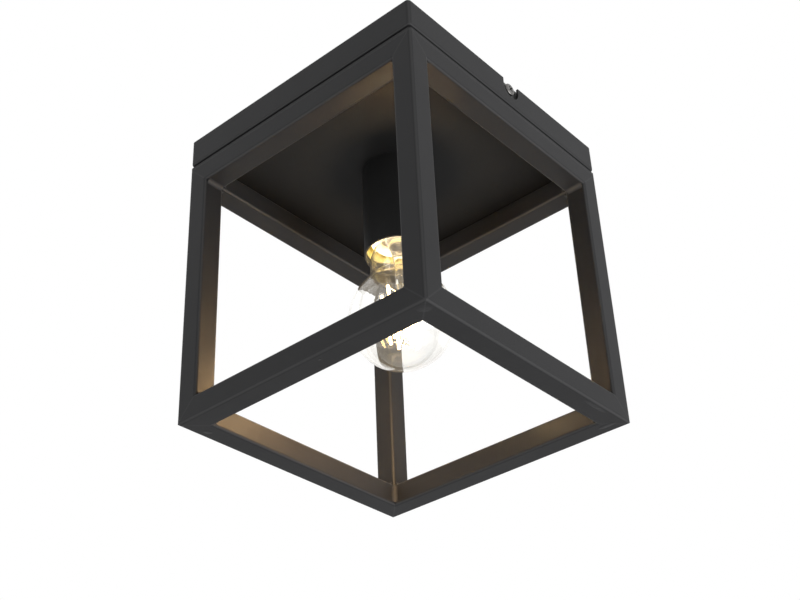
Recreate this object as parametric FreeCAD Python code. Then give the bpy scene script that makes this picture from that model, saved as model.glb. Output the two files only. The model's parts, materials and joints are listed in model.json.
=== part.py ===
import FreeCAD, Part
import math
import os

# Porch ceiling lantern: an open cube frame of welded square tube hangs under a shallow sheet canopy.
# A plain sleeve in the middle holds an E27 lamp holder and a clear lamp.
# Millimetres, +Z up. The origin is on the ceiling, at the middle of the bracket; everything hangs below it.
# Front is -Y, right is +X.

V = FreeCAD.Vector
X_AXIS = V(1, 0, 0)
Y_AXIS = V(0, 1, 0)
Z_AXIS = V(0, 0, 1)

# ---------------------------------------------------------------- driving dimensions

# frame of square tube
FRAME_WIDTH = 200.0          # X, outside
FRAME_DEPTH = 200.0          # Y, outside
FRAME_HEIGHT = 199.0         # Z, outside, without the top plate
TUBE = 16.0                  # side of the square tube
TUBE_WALL = 1.5
TUBE_ROUND = 2.0             # outer radius of the tube's long edges
WELD_LEG = 3.0               # leg of the weld fillet in each window corner

# plate that closes the frame's top, and the seal above it
TOP_PLATE = 0.8
PLATE_ROUND = 2.0
SEAL_THICK = 2.5             # thickness of the seal, and so the height of the shadow gap
SEAL_INSET = 3.0             # how far the seal sits behind the outer faces
SEAL_WIDTH = 6.0

# canopy: a folded sheet box, open towards the ceiling
CANOPY_HEIGHT = 20.5
CANOPY_SHEET = 1.5
CANOPY_ROUND = 2.5           # outer radius of the upright corners
CANOPY_FOLD = 1.4            # outer radius of the folds round the floor

# side notches, and the screws in them
NOTCH_WIDTH = 16.0
SCREW_DROP = 5.0             # screw axis below the ceiling
SCREW_OFFSET = 5.0           # screw axis from the middle of the side, the other way on the other side
SCREW_RADIUS = 2.0
SCREW_LENGTH = 12.0
SCREW_HEAD_RADIUS = 4.5
SCREW_HEAD = 1.9             # height of the pan head
SCREW_RECESS = 1.1           # depth of the cross recess
RECESS_SPAN = 4.6            # tip to tip of the cross recess
RECESS_WIDTH = 0.9

# ceiling bracket
BRACKET_SHEET = 1.5
BRACKET_WIDTH = 30.0
BRACKET_FOLD = 2.0           # outer radius of the folds to the ears
EAR_WIDTH = 20.0
EAR_DROP = 14.0
EAR_ROUND = 3.0
SLOT_SPACING = 120.0         # between the middles of the two ceiling slots
SLOT_LENGTH = 14.0
SLOT_WIDTH = 5.0
CABLE_HOLE = 22.0
CLINCH_NUT_RADIUS = 3.8
CLINCH_NUT = 3.0
BRACKET_EARTH_X = -32.0      # earth screw on the bracket

# tabs that hang the canopy on the side screws
TAB_SHEET = 1.5
TAB_WIDTH = 26.0
TAB_FOOT = 17.0
TAB_WALL_GAP = 1.0           # between the canopy's wall and the tab
TAB_TOP_GAP = 0.4            # between the ceiling and the tab's top
TAB_FOLD = 2.0
RIVET_RADIUS = 1.6
RIVET_HEAD_RADIUS = 3.0
RIVET_HEAD = 1.0
RIVET_SPACING = 15.0
RIVET_FROM_END = 5.0         # from the end of the foot

# studs on the top plate, with nuts inside the canopy
STUD_RADIUS = 2.0
STUD_INSET = 24.0            # from the frame's outer faces
NUT_HEIGHT = 3.2
NUT_FLATS = 7.0
WASHER_THICK = 0.8
WASHER_RADIUS = 4.5
STUD_OVER_NUT = 1.6
SPACER_RADIUS = 5.0

# threaded nipple that carries the lamp holder
NIPPLE_RADIUS = 5.0
NIPPLE_BORE = 3.9            # radius
NIPPLE_ABOVE_NUT = 2.0
NIPPLE_NUT = 3.0
NIPPLE_NUT_FLATS = 14.0
NIPPLE_SPACER_RADIUS = 9.0

# sleeve round the lamp holder
SLEEVE_LENGTH = 71.0
SLEEVE_RADIUS = 23.2
SLEEVE_WALL = 1.2
LINER_SHEET = 0.7
LINER_STEP = 5.5             # the liner ends this far above the sleeve's rim
LINER_LENGTH = 30.0

# porcelain lamp holder and its cap
HOLDER_RADIUS = 18.5
HOLDER_BORE = 15.0           # radius of the lamp's bore
HOLDER_MOUTH = 17.5          # radius at the flared mouth
HOLDER_MOUTH_DEPTH = 4.0
HOLDER_WEB = 9.0             # thickness of the porcelain above the lamp
HOLDER_SKIRT = 3.0           # how far it reaches past the lamp cap's rim
SPIGOT_RADIUS = 16.2
SPIGOT_HEIGHT = 4.0
HOLDER_CAP_TOP = 5.0
SHELL_SHEET = 0.5

# sprung centre contact
PLUNGER_HEAD_RADIUS = 3.2
PLUNGER_HEAD = 1.4
PLUNGER_RADIUS = 1.6
PLUNGER_TRAVEL = 1.5
SPRING_LENGTH = 6.0
SPRING_WIRE = 0.9
CLIP_THICK = 0.8

# lamp
LAMP_RADIUS = 35.0
LAMP_LENGTH = 126.0
LAMP_INSERT = 40.8           # the lamp's tip contact lies this far above the sleeve's rim
LAMP_NECK_RADIUS = 19.7
LAMP_GLASS = 0.8
CAP_LENGTH = 26.5
CAP_RADIUS = 13.1            # over the thread
CAP_ROOT = 12.2
CAP_SHEET = 0.5
CAP_THREAD_START = 4.5       # below the tip contact
THREAD_PITCH = 3.63
THREAD_RINGS = 5
TIP_RADIUS = 4.8
TIP_THICK = 1.3
FILAMENT_COUNT = 6
FILAMENT_RADIUS = 1.0
FILAMENT_TOP_RING = 13.0     # radius of the ring of upper ends
FILAMENT_BOTTOM_RING = 8.0
FILAMENT_START = 71.0        # upper ends, below the tip contact
FILAMENT_DROP = 38.0         # from the upper to the lower ends
SUPPORT_WIRE_RADIUS = 0.35
STEM_ROD = 1.3               # radius of the glass rod down the middle
STEM_FOOT = 2.1              # radius of its lower bead

# terminal block in the canopy
BLOCK_Y = 46.0               # middle of the block
BLOCK_DEPTH = 17.0           # along the wires
BLOCK_BASE = 6.5             # height of the base
BLOCK_BARREL = 6.0           # height of the barrels above the base
BARREL_WIDTH = 7.6
POLE_PITCH = 10.0
POLE_COUNT = 3
POLE_BORE = 1.5
POLE_TUBE = 2.3
POLE_SCREW_RADIUS = 1.4
BLOCK_SCREW_RADIUS = 1.5
BLOCK_SCREW_HEAD = 2.0       # radius
EARTH_STUD_X = 40.0
EARTH_STUD_Y = 30.0
HOLDER_TERMINAL_X = 9.0
HOLDER_TERMINAL = 5.0        # side of a terminal in the holder
TERMINAL_SCREW_RADIUS = 1.6
TERMINAL_SCREW_HEAD = 1.4

# wires
WIRE_RADIUS = 1.0
WIRE_GRIP = 3.0              # length of each wire inside the block
WIRE_LEAD = 12.0             # straight run out of the block
WIRE_LANE = 1.3              # live and neutral either side of the nipple's axis
WIRE_ARCH = 6.5              # height of their arch above the nipple
WIRE_ARCH_START = 15.5       # from the nipple's axis
EARTH_RUN_START = 8.0        # the earth wire's run along the block starts this far from its pole
EARTH_RUN_END = 24.0
EARTH_RUN_BACK = 12.0        # from the end of the straight lead
EARTH_LOOP_SIDE = 15.0       # its loop round the earth nut, beyond the stud
EARTH_LOOP_START = 4.0
EARTH_LOOP_END = 20.0
EARTH_LOOP_TOP = 24.0
TAG_NECK = 3.0               # from the ring to the crimp barrel
TAG_HALF_WIDTH = 1.6
TAG_BARREL = 5.0             # length of the crimp barrel

# clearances
THREAD_GAP = 0.05            # radial, between a screw and its thread
RUN_GAP = 0.3                # between pieces that move past each other
HOLE_GAP = 0.2               # radial, between a screw and a plain hole
LAMP_THREAD_GAP = 0.3        # radial, between the lamp's cap and the holder's shell

# ---------------------------------------------------------------- levels and places that follow

HALF_WIDTH = FRAME_WIDTH / 2
HALF_DEPTH = FRAME_DEPTH / 2
FLOOR_UNDER = -CANOPY_HEIGHT
FLOOR_TOP = FLOOR_UNDER + CANOPY_SHEET
PLATE_TOP = FLOOR_UNDER - SEAL_THICK
FRAME_TOP = PLATE_TOP - TOP_PLATE
FRAME_BOTTOM = FRAME_TOP - FRAME_HEIGHT
FRAME_MIDDLE = (FRAME_TOP + FRAME_BOTTOM) / 2

TAB_OUTER = HALF_WIDTH - CANOPY_SHEET - TAB_WALL_GAP
TAB_INNER = TAB_OUTER - TAB_SHEET
EAR_OUTER = TAB_INNER - RUN_GAP
EAR_INNER = EAR_OUTER - BRACKET_SHEET
HEAD_UNDER = TAB_OUTER + RUN_GAP

SLEEVE_RIM = FRAME_TOP - SLEEVE_LENGTH
SLEEVE_BORE = SLEEVE_RADIUS - SLEEVE_WALL
SLEEVE_CEILING = FRAME_TOP - SLEEVE_WALL
LAMP_TIP = SLEEVE_RIM + LAMP_INSERT
CAP_RIM = LAMP_TIP - CAP_LENGTH
LAMP_CENTRE = LAMP_TIP - LAMP_LENGTH + LAMP_RADIUS
CAP_THREAD_TOP = LAMP_TIP - CAP_THREAD_START

CONTACT_LEVEL = LAMP_TIP + RUN_GAP
HEAD_TOP = CONTACT_LEVEL + PLUNGER_HEAD
SPRING_SEAT = HEAD_TOP + SPRING_LENGTH
WEB_UNDER = HEAD_TOP + 1.0
WEB_TOP = WEB_UNDER + HOLDER_WEB
HOLDER_RIM = CAP_RIM - HOLDER_SKIRT
CAP_UNDER = SLEEVE_CEILING - HOLDER_CAP_TOP

WASHER_TOP = FLOOR_TOP + WASHER_THICK
NIPPLE_TOP = WASHER_TOP + NIPPLE_NUT + NIPPLE_ABOVE_NUT
WIRE_LEVEL = NIPPLE_TOP + WIRE_ARCH
POLE_LEVEL = FLOOR_TOP + BLOCK_BASE


# ---------------------------------------------------------------- shape helpers

def block(low, high):
    """Box between two corners."""
    size = V(*high) - V(*low)
    return Part.makeBox(size.x, size.y, size.z, V(*low))


def rod(radius, start, end):
    """Round bar from one point to another."""
    along = V(*end) - V(*start)
    return Part.makeCylinder(radius, along.Length, V(*start), along)


def ring(outer, inner, bottom, top, x=0.0, y=0.0):
    """Upright tube or washer."""
    height = top - bottom
    return Part.makeCylinder(outer, height, V(x, y, bottom)).cut(Part.makeCylinder(inner, height, V(x, y, bottom)))


def rounded(shape, radius, chosen):
    """Fillet the edges for which chosen(edge) is true."""
    return shape.makeFillet(radius, [edge for edge in shape.Edges if chosen(edge)])


def runs_along(edge, axis):
    """True for a straight edge parallel to the axis."""
    if not isinstance(edge.Curve, Part.Line):
        return False
    return abs(abs(edge.Curve.Direction.dot(axis)) - 1) < 1e-6


def rounded_block(low, high, radius, axis):
    """Box with the four edges along one axis rounded."""
    return rounded(block(low, high), radius, lambda edge: runs_along(edge, axis))


def face_of(points):
    """Flat face inside straight lines through the points."""
    corners = [V(*point) for point in points]
    return Part.Face(Part.makePolygon(corners + corners[:1]))


def turned(profile):
    """Solid of revolution about Z from (radius, height) points."""
    face = face_of([(radius, 0, height) for radius, height in profile])
    return face.revolve(V(0, 0, 0), Z_AXIS, 360)


def turned_edges(edges):
    """Solid of revolution about Z from connected edges in the XZ plane."""
    face = Part.Face(Part.Wire(Part.__sortEdges__(edges)))
    return face.revolve(V(0, 0, 0), Z_AXIS, 360)


def hexagon(flats, bottom, top, bore, x=0.0, y=0.0):
    """Hexagon nut with a plain bore and chamfered corners."""
    reach = flats / math.sqrt(3)
    angles = [math.radians(60 * step) for step in range(6)]
    outline = [(x + reach * math.cos(a), y + reach * math.sin(a), bottom) for a in angles]
    prism = face_of(outline).extrude(V(0, 0, top - bottom))
    chamfer = 0.12 * (top - bottom)
    lathe = Part.makeCone(reach - chamfer, reach, chamfer, V(x, y, bottom))
    lathe = lathe.fuse(Part.makeCylinder(reach, top - bottom - 2 * chamfer, V(x, y, bottom + chamfer)))
    lathe = lathe.fuse(Part.makeCone(reach, reach - chamfer, chamfer, V(x, y, top - chamfer)))
    return prism.common(lathe).cut(Part.makeCylinder(bore, top - bottom, V(x, y, bottom)))


def slot_cutter(length, width, bottom, top, x, y):
    """Slot with round ends, along X."""
    straight = (length - width) / 2
    cutter = block((x - straight, y - width / 2, bottom), (x + straight, y + width / 2, top))
    for end in (-straight, straight):
        cutter = cutter.fuse(Part.makeCylinder(width / 2, top - bottom, V(x + end, y, bottom)))
    return cutter


def u_cutter(width, axis_level, top, x0, x1, y):
    """U-shaped cutter along X, round at the axis level and open upwards."""
    radius = width / 2
    cutter = Part.makeCylinder(radius, x1 - x0, V(x0, y, axis_level), X_AXIS)
    return cutter.fuse(block((x0, y - radius, axis_level), (x1, y + radius, top)))


def turned_about(shape):
    """The same shape on the other side of the lantern, half a turn about Z."""
    other = shape.copy()
    other.rotate(V(0, 0, 0), Z_AXIS, 180)
    return other


def placed(shape, corner, along, across, third):
    """Copy of a shape with its X, Y and Z turned to the three directions and its origin at the corner."""
    if along.cross(across).dot(third) < 0:
        across, third = third, across
    result = shape.copy()
    result.Placement = FreeCAD.Placement(V(*corner), FreeCAD.Rotation(along, across, third, "XYZ"))
    return result


def wire_tube(points, radius):
    """Wire along straight runs joined by tangent arcs, as large as the runs allow."""
    corners = [V(*point) for point in points]
    edges = []
    start = corners[0]
    for before, corner, after in zip(corners, corners[1:], corners[2:]):
        back = (before - corner).normalize()
        ahead = (after - corner).normalize()
        half_turn = (math.pi - back.getAngle(ahead)) / 2
        reach = 0.45 * min((before - corner).Length, (after - corner).Length)
        bend = reach / math.tan(half_turn)
        middle = (back + ahead).normalize()
        centre = corner + middle * math.hypot(bend, reach)
        enter = corner + back * reach
        leave = corner + ahead * reach
        edges.append(Part.LineSegment(start, enter).toShape())
        edges.append(Part.Arc(enter, centre - middle * bend, leave).toShape())
        print("wire bend radius %.1f at (%.1f, %.1f, %.1f)" % (bend, corner.x, corner.y, corner.z))
        start = leave
    edges.append(Part.LineSegment(start, corners[-1]).toShape())
    path = Part.Wire(edges)
    section = Part.Wire(Part.makeCircle(radius, corners[0], corners[1] - corners[0]))
    tube = path.makePipeShell([section], True, False)
    expected = math.pi * radius ** 2 * path.Length
    print("wire length %.1f, volume / expected %.4f" % (path.Length, tube.Volume / expected))
    return tube


# ---------------------------------------------------------------- frame

def mitred_tube(length):
    """Square tube along X with three-way mitres; Y and Z run inwards from its two outer faces."""
    tube = rounded_block((0, 0, 0), (length, TUBE, TUBE), TUBE_ROUND, X_AXIS)
    bore = TUBE - TUBE_WALL
    tube = tube.cut(block((0, TUBE_WALL, TUBE_WALL), (length, bore, bore)))
    mitre = [(0, 0), (length, 0), (length - TUBE, TUBE), (TUBE, TUBE)]
    keep_y = face_of([(x, y, 0) for x, y in mitre]).extrude(V(0, 0, TUBE))
    keep_z = face_of([(x, 0, z) for x, z in mitre]).extrude(V(0, TUBE, 0))
    return tube.common(keep_y).common(keep_z)


def posts():
    """Four upright tubes."""
    tube = mitred_tube(FRAME_HEIGHT)
    made = {}
    for depth_name, side_y in (("front", -1), ("rear", 1)):
        for side_name, side_x in (("left", -1), ("right", 1)):
            corner = (side_x * HALF_WIDTH, side_y * HALF_DEPTH, FRAME_BOTTOM)
            made["post_" + depth_name + "_" + side_name] = placed(
                tube, corner, Z_AXIS, X_AXIS * -side_x, Y_AXIS * -side_y)
    return made


def rails():
    """Four tubes round the top and four round the bottom."""
    made = {}
    for level_name, level, inwards in (("top", FRAME_TOP, -1), ("bottom", FRAME_BOTTOM, 1)):
        across = Z_AXIS * inwards
        for name, side in (("front", -1), ("rear", 1)):
            corner = (-HALF_WIDTH, side * HALF_DEPTH, level)
            made[level_name + "_rail_" + name] = placed(
                mitred_tube(FRAME_WIDTH), corner, X_AXIS, Y_AXIS * -side, across)
        for name, side in (("left", -1), ("right", 1)):
            corner = (side * HALF_WIDTH, -HALF_DEPTH, level)
            made[level_name + "_rail_" + name] = placed(
                mitred_tube(FRAME_DEPTH), corner, Y_AXIS, X_AXIS * -side, across)
    return made


def weld_fillets():
    """Weld fillet in the four inner corners of each of the frame's six openings."""
    leg_end = V(WELD_LEG, 0, 0)
    other_end = V(0, WELD_LEG, 0)
    hollow = WELD_LEG * (1 - math.sqrt(0.5))
    edges = [
        Part.LineSegment(V(0, 0, 0), leg_end).toShape(),
        Part.Arc(leg_end, V(hollow, hollow, 0), other_end).toShape(),
        Part.LineSegment(other_end, V(0, 0, 0)).toShape(),
    ]
    bead = Part.Face(Part.Wire(edges)).extrude(V(0, 0, TUBE - 2 * TUBE_ROUND))
    axes = (X_AXIS, Y_AXIS, Z_AXIS)
    halves = (HALF_WIDTH, HALF_DEPTH, FRAME_HEIGHT / 2)
    beads = []
    for normal in range(3):
        first, second = [axis for axis in range(3) if axis != normal]
        for face_side in (-1, 1):
            for a in (-1, 1):
                for b in (-1, 1):
                    corner = V(0, 0, FRAME_MIDDLE)
                    corner += axes[first] * (a * (halves[first] - TUBE))
                    corner += axes[second] * (b * (halves[second] - TUBE))
                    legs = [axes[first] * -a, axes[second] * -b]
                    inwards = axes[normal] * -face_side
                    start = corner + axes[normal] * (face_side * (halves[normal] - TUBE_ROUND))
                    if legs[0].cross(legs[1]).dot(inwards) < 0:
                        legs.reverse()
                    beads.append(placed(bead, start, legs[0], legs[1], inwards))
    return Part.makeCompound(beads)


def plate_weld():
    """Weld ground flush in the groove between the plate's edge and the rounded tubes under it."""
    low = FRAME_TOP - 0.75 * TUBE_ROUND
    filler = rounded_block((-HALF_WIDTH, -HALF_DEPTH, low), (HALF_WIDTH, HALF_DEPTH, FRAME_TOP), PLATE_ROUND, Z_AXIS)
    filler = filler.cut(block((-HALF_WIDTH + TUBE_ROUND, -HALF_DEPTH + TUBE_ROUND, low),
                              (HALF_WIDTH - TUBE_ROUND, HALF_DEPTH - TUBE_ROUND, FRAME_TOP)))
    for tube in list(rails().values()) + list(posts().values()):
        filler = filler.cut(tube)
    return filler


def top_plate():
    """Sheet that closes the frame's top, with a hole for the nipple."""
    plate = rounded_block((-HALF_WIDTH, -HALF_DEPTH, FRAME_TOP), (HALF_WIDTH, HALF_DEPTH, PLATE_TOP),
                          PLATE_ROUND, Z_AXIS)
    return plate.cut(rod(NIPPLE_RADIUS + HOLE_GAP, (0, 0, FRAME_TOP), (0, 0, PLATE_TOP)))


# ---------------------------------------------------------------- canopy

def stud_places():
    """Middles of the four studs."""
    x = HALF_WIDTH - STUD_INSET
    y = HALF_DEPTH - STUD_INSET
    return [(-x, -y), (x, -y), (x, y), (-x, y)]


def rivet_places():
    """Middles of the tab rivets on the right-hand side."""
    x = TAB_OUTER - TAB_FOOT + RIVET_FROM_END
    return [(x, SCREW_OFFSET - RIVET_SPACING / 2), (x, SCREW_OFFSET + RIVET_SPACING / 2)]


def canopy_box():
    """Folded box with a floor, four walls and a U notch in each side wall."""
    outer = rounded_block((-HALF_WIDTH, -HALF_DEPTH, FLOOR_UNDER), (HALF_WIDTH, HALF_DEPTH, 0),
                          CANOPY_ROUND, Z_AXIS)
    outer = rounded(outer, CANOPY_FOLD,
                    lambda edge: abs(edge.BoundBox.ZMax - FLOOR_UNDER) < 1e-6)
    inside = rounded_block(
        (-HALF_WIDTH + CANOPY_SHEET, -HALF_DEPTH + CANOPY_SHEET, FLOOR_TOP),
        (HALF_WIDTH - CANOPY_SHEET, HALF_DEPTH - CANOPY_SHEET, 1), CANOPY_ROUND - CANOPY_SHEET, Z_AXIS)
    box = outer.cut(inside)
    notch = u_cutter(NOTCH_WIDTH, -SCREW_DROP, 1, TAB_OUTER, HALF_WIDTH + 1, SCREW_OFFSET)
    box = box.cut(notch).cut(turned_about(notch))
    for x, y in stud_places():
        box = box.cut(rod(STUD_RADIUS + HOLE_GAP, (x, y, FLOOR_UNDER), (x, y, FLOOR_TOP)))
    for x, y in rivet_places():
        hole = rod(RIVET_RADIUS, (x, y, FLOOR_UNDER), (x, y, FLOOR_TOP))
        box = box.cut(hole).cut(turned_about(hole))
    box = box.cut(rod(NIPPLE_RADIUS + HOLE_GAP, (0, 0, FLOOR_UNDER), (0, 0, FLOOR_TOP)))
    return box.cut(rod(BLOCK_SCREW_RADIUS + THREAD_GAP,
                       (block_screw_x(), BLOCK_Y, FLOOR_UNDER), (block_screw_x(), BLOCK_Y, FLOOR_TOP)))


def hanging_tab():
    """Angle on the canopy's floor whose open slot hangs on the right-hand side screw."""
    y0 = SCREW_OFFSET - TAB_WIDTH / 2
    y1 = SCREW_OFFSET + TAB_WIDTH / 2
    outer = block((TAB_OUTER - TAB_FOOT, y0, FLOOR_TOP), (TAB_OUTER, y1, -TAB_TOP_GAP))
    outer = rounded(outer, TAB_FOLD,
                    lambda edge: runs_along(edge, Y_AXIS) and edge.BoundBox.XMin > TAB_OUTER - 1e-6
                    and edge.BoundBox.ZMax < FLOOR_TOP + 1e-6)
    inside = block((TAB_OUTER - TAB_FOOT - 1, y0 - 1, FLOOR_TOP + TAB_SHEET), (TAB_INNER, y1 + 1, 1))
    tab = outer.cut(inside)
    slot = u_cutter(2 * (SCREW_RADIUS + RUN_GAP), -SCREW_DROP, 1, TAB_INNER - 1, TAB_OUTER + 1, SCREW_OFFSET)
    tab = tab.cut(slot)
    for x, y in rivet_places():
        tab = tab.cut(rod(RIVET_RADIUS, (x, y, FLOOR_TOP), (x, y, FLOOR_TOP + TAB_SHEET)))
    return tab


def tab_rivets():
    """Two rivets through the foot of each tab and the canopy's floor."""
    rivets = []
    foot_top = FLOOR_TOP + TAB_SHEET
    for x, y in rivet_places():
        shank = rod(RIVET_RADIUS, (x, y, FLOOR_UNDER), (x, y, foot_top))
        head = Part.makeCylinder(RIVET_HEAD_RADIUS, RIVET_HEAD, V(x, y, foot_top))
        head = rounded(head, RIVET_HEAD * 0.7, lambda edge: edge.BoundBox.ZMin > foot_top + 1e-6)
        tail = Part.makeCylinder(RIVET_HEAD_RADIUS * 0.8, SEAL_THICK * 0.6, V(x, y, FLOOR_UNDER - SEAL_THICK * 0.6))
        rivet = shank.fuse(head).fuse(tail).removeSplitter()
        rivets += [rivet, turned_about(rivet)]
    return Part.makeCompound(rivets)


def joint_seal():
    """Square rubber seal between the canopy's floor and the top plate, set back from the edges."""
    x = HALF_WIDTH - SEAL_INSET
    y = HALF_DEPTH - SEAL_INSET
    seal = rounded_block((-x, -y, PLATE_TOP), (x, y, FLOOR_UNDER), SEAL_WIDTH / 2, Z_AXIS)
    return seal.cut(block((-x + SEAL_WIDTH, -y + SEAL_WIDTH, PLATE_TOP), (x - SEAL_WIDTH, y - SEAL_WIDTH, FLOOR_UNDER)))


def plate_studs():
    """Four studs welded on the top plate."""
    top = WASHER_TOP + NUT_HEIGHT + STUD_OVER_NUT
    return Part.makeCompound([rod(STUD_RADIUS, (x, y, PLATE_TOP), (x, y, top)) for x, y in stud_places()])


def spacer_washers():
    """Washers as thick as the seal, round the studs and the nipple."""
    spacers = [ring(SPACER_RADIUS, STUD_RADIUS + HOLE_GAP, PLATE_TOP, FLOOR_UNDER, x, y) for x, y in stud_places()]
    spacers.append(ring(NIPPLE_SPACER_RADIUS, NIPPLE_RADIUS + HOLE_GAP, PLATE_TOP, FLOOR_UNDER))
    return Part.makeCompound(spacers)


def stud_washers():
    """Washers under the stud nuts."""
    return Part.makeCompound(
        [ring(WASHER_RADIUS, STUD_RADIUS + HOLE_GAP, FLOOR_TOP, WASHER_TOP, x, y) for x, y in stud_places()])


def stud_nuts():
    """Nuts on the four studs."""
    top = WASHER_TOP + NUT_HEIGHT
    return Part.makeCompound(
        [hexagon(NUT_FLATS, WASHER_TOP, top, STUD_RADIUS + THREAD_GAP, x, y) for x, y in stud_places()])


# ---------------------------------------------------------------- ceiling bracket and side screws

def ceiling_bracket():
    """Strap on the ceiling with an ear folded down at each end."""
    half = BRACKET_WIDTH / 2
    bar = block((-EAR_OUTER, -half, -BRACKET_SHEET), (EAR_OUTER, half, 0))
    ear_half = EAR_WIDTH / 2
    ear = block((EAR_INNER, SCREW_OFFSET - ear_half, -EAR_DROP), (EAR_OUTER, SCREW_OFFSET + ear_half, 0))
    ear = rounded(ear, EAR_ROUND,
                  lambda edge: runs_along(edge, X_AXIS) and edge.BoundBox.ZMax < -EAR_DROP + 1e-6)
    bracket = bar.fuse(ear).fuse(turned_about(ear)).removeSplitter()
    bracket = rounded(bracket, BRACKET_FOLD,
                      lambda edge: runs_along(edge, Y_AXIS) and abs(edge.BoundBox.XMin) > EAR_OUTER - 1e-6
                      and edge.BoundBox.ZMin > -1e-6)
    thread = rod(SCREW_RADIUS + THREAD_GAP, (EAR_INNER - 1, SCREW_OFFSET, -SCREW_DROP),
                 (EAR_OUTER + 1, SCREW_OFFSET, -SCREW_DROP))
    bracket = bracket.cut(thread).cut(turned_about(thread))
    for side in (-1, 1):
        bracket = bracket.cut(slot_cutter(SLOT_LENGTH, SLOT_WIDTH, -BRACKET_SHEET, 0, side * SLOT_SPACING / 2, 0))
    bracket = bracket.cut(rod(CABLE_HOLE / 2, (0, 0, -BRACKET_SHEET), (0, 0, 0)))
    return bracket.cut(rod(SCREW_RADIUS + THREAD_GAP, (BRACKET_EARTH_X, 0, -BRACKET_SHEET), (BRACKET_EARTH_X, 0, 0)))


def clinch_nuts():
    """Round nuts pressed on the inner face of each ear."""
    nut = rod(CLINCH_NUT_RADIUS, (EAR_INNER - CLINCH_NUT, SCREW_OFFSET, -SCREW_DROP),
              (EAR_INNER, SCREW_OFFSET, -SCREW_DROP))
    nut = nut.common(block((0, -HALF_DEPTH, -CANOPY_HEIGHT), (HALF_WIDTH, HALF_DEPTH, -BRACKET_SHEET)))
    nut = nut.cut(rod(SCREW_RADIUS + THREAD_GAP, (EAR_INNER - CLINCH_NUT, SCREW_OFFSET, -SCREW_DROP),
                      (EAR_INNER, SCREW_OFFSET, -SCREW_DROP)))
    return Part.makeCompound([nut, turned_about(nut)])


def bracket_earth_screw():
    """Earth screw with a cup washer, under the bracket."""
    x = BRACKET_EARTH_X
    washer_under = -BRACKET_SHEET - WASHER_THICK
    head_under = washer_under - SCREW_HEAD
    washer = ring(WASHER_RADIUS, SCREW_RADIUS + HOLE_GAP, washer_under, -BRACKET_SHEET, x, 0)
    head = Part.makeCylinder(SCREW_HEAD_RADIUS * 0.8, SCREW_HEAD, V(x, 0, head_under))
    head = rounded(head, SCREW_HEAD * 0.4, lambda edge: edge.BoundBox.ZMax < head_under + 1e-6)
    head = head.cut(block((x - RECESS_SPAN / 2, -RECESS_WIDTH / 2, head_under - 1),
                          (x + RECESS_SPAN / 2, RECESS_WIDTH / 2, head_under + SCREW_RECESS / 2)))
    shank = rod(SCREW_RADIUS, (x, 0, washer_under), (x, 0, -0.2))
    return Part.makeCompound([head.fuse(shank).removeSplitter(), washer])


def side_screw():
    """Pan-head screw through the right-hand notch and tab into the bracket's ear."""
    head = Part.makeCylinder(SCREW_HEAD_RADIUS, SCREW_HEAD, V(0, 0, 0), X_AXIS)
    head = rounded(head, SCREW_HEAD * 0.6, lambda edge: edge.BoundBox.XMin > SCREW_HEAD - 1e-6)
    floor = SCREW_HEAD - SCREW_RECESS
    for turn in (0, 90):
        bar = block((floor, -RECESS_SPAN / 2, -RECESS_WIDTH / 2), (SCREW_HEAD + 1, RECESS_SPAN / 2, RECESS_WIDTH / 2))
        bar.rotate(V(0, 0, 0), X_AXIS, turn + 45)
        head = head.cut(bar)
    shank = Part.makeCylinder(SCREW_RADIUS, SCREW_LENGTH, V(-SCREW_LENGTH, 0, 0), X_AXIS)
    shank = shank.makeChamfer(0.6, [edge for edge in shank.Edges if edge.BoundBox.XMax < -SCREW_LENGTH + 1e-6])
    screw = head.fuse(shank).removeSplitter()
    screw.translate(V(HEAD_UNDER, SCREW_OFFSET, -SCREW_DROP))
    return screw


# ---------------------------------------------------------------- lamp holder

def nipple():
    """Threaded tube that carries the sleeve and the holder, and lets the wires through."""
    tube = ring(NIPPLE_RADIUS, NIPPLE_BORE, CAP_UNDER, NIPPLE_TOP)
    return tube.makeChamfer(0.5, [edge for edge in tube.Edges
                                  if edge.BoundBox.ZMin > NIPPLE_TOP - 1e-6 and edge.Length > 6.2 * NIPPLE_BORE])


def nipple_washer():
    """Washer under the nipple's nut."""
    return ring(NIPPLE_SPACER_RADIUS, NIPPLE_RADIUS + HOLE_GAP, FLOOR_TOP, WASHER_TOP)


def nipple_nut():
    """Nut that holds the nipple in the canopy's floor."""
    return hexagon(NIPPLE_NUT_FLATS, WASHER_TOP, WASHER_TOP + NIPPLE_NUT, NIPPLE_RADIUS + THREAD_GAP)


def holder_sleeve():
    """Plain drawn sleeve, closed at the plate and open downwards."""
    body = Part.makeCylinder(SLEEVE_RADIUS, SLEEVE_LENGTH, V(0, 0, SLEEVE_RIM))
    bore = Part.makeCylinder(SLEEVE_BORE, SLEEVE_CEILING - SLEEVE_RIM, V(0, 0, SLEEVE_RIM))
    body = body.cut(bore)
    body = body.cut(rod(NIPPLE_RADIUS + HOLE_GAP, (0, 0, SLEEVE_CEILING), (0, 0, FRAME_TOP)))
    return rounded(body, SLEEVE_WALL * 0.3, lambda edge: edge.BoundBox.ZMax < SLEEVE_RIM + 1e-6)


def sleeve_liner():
    """Bright cup between the sleeve and the porcelain."""
    outer = SLEEVE_BORE - THREAD_GAP
    inner = outer - LINER_SHEET
    bottom = SLEEVE_RIM + LINER_STEP
    top = bottom + LINER_LENGTH
    eye = HOLDER_RADIUS + THREAD_GAP
    return turned([(eye, top), (outer, top), (outer, bottom), (inner, bottom),
                   (inner, top - LINER_SHEET), (eye, top - LINER_SHEET)])


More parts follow.
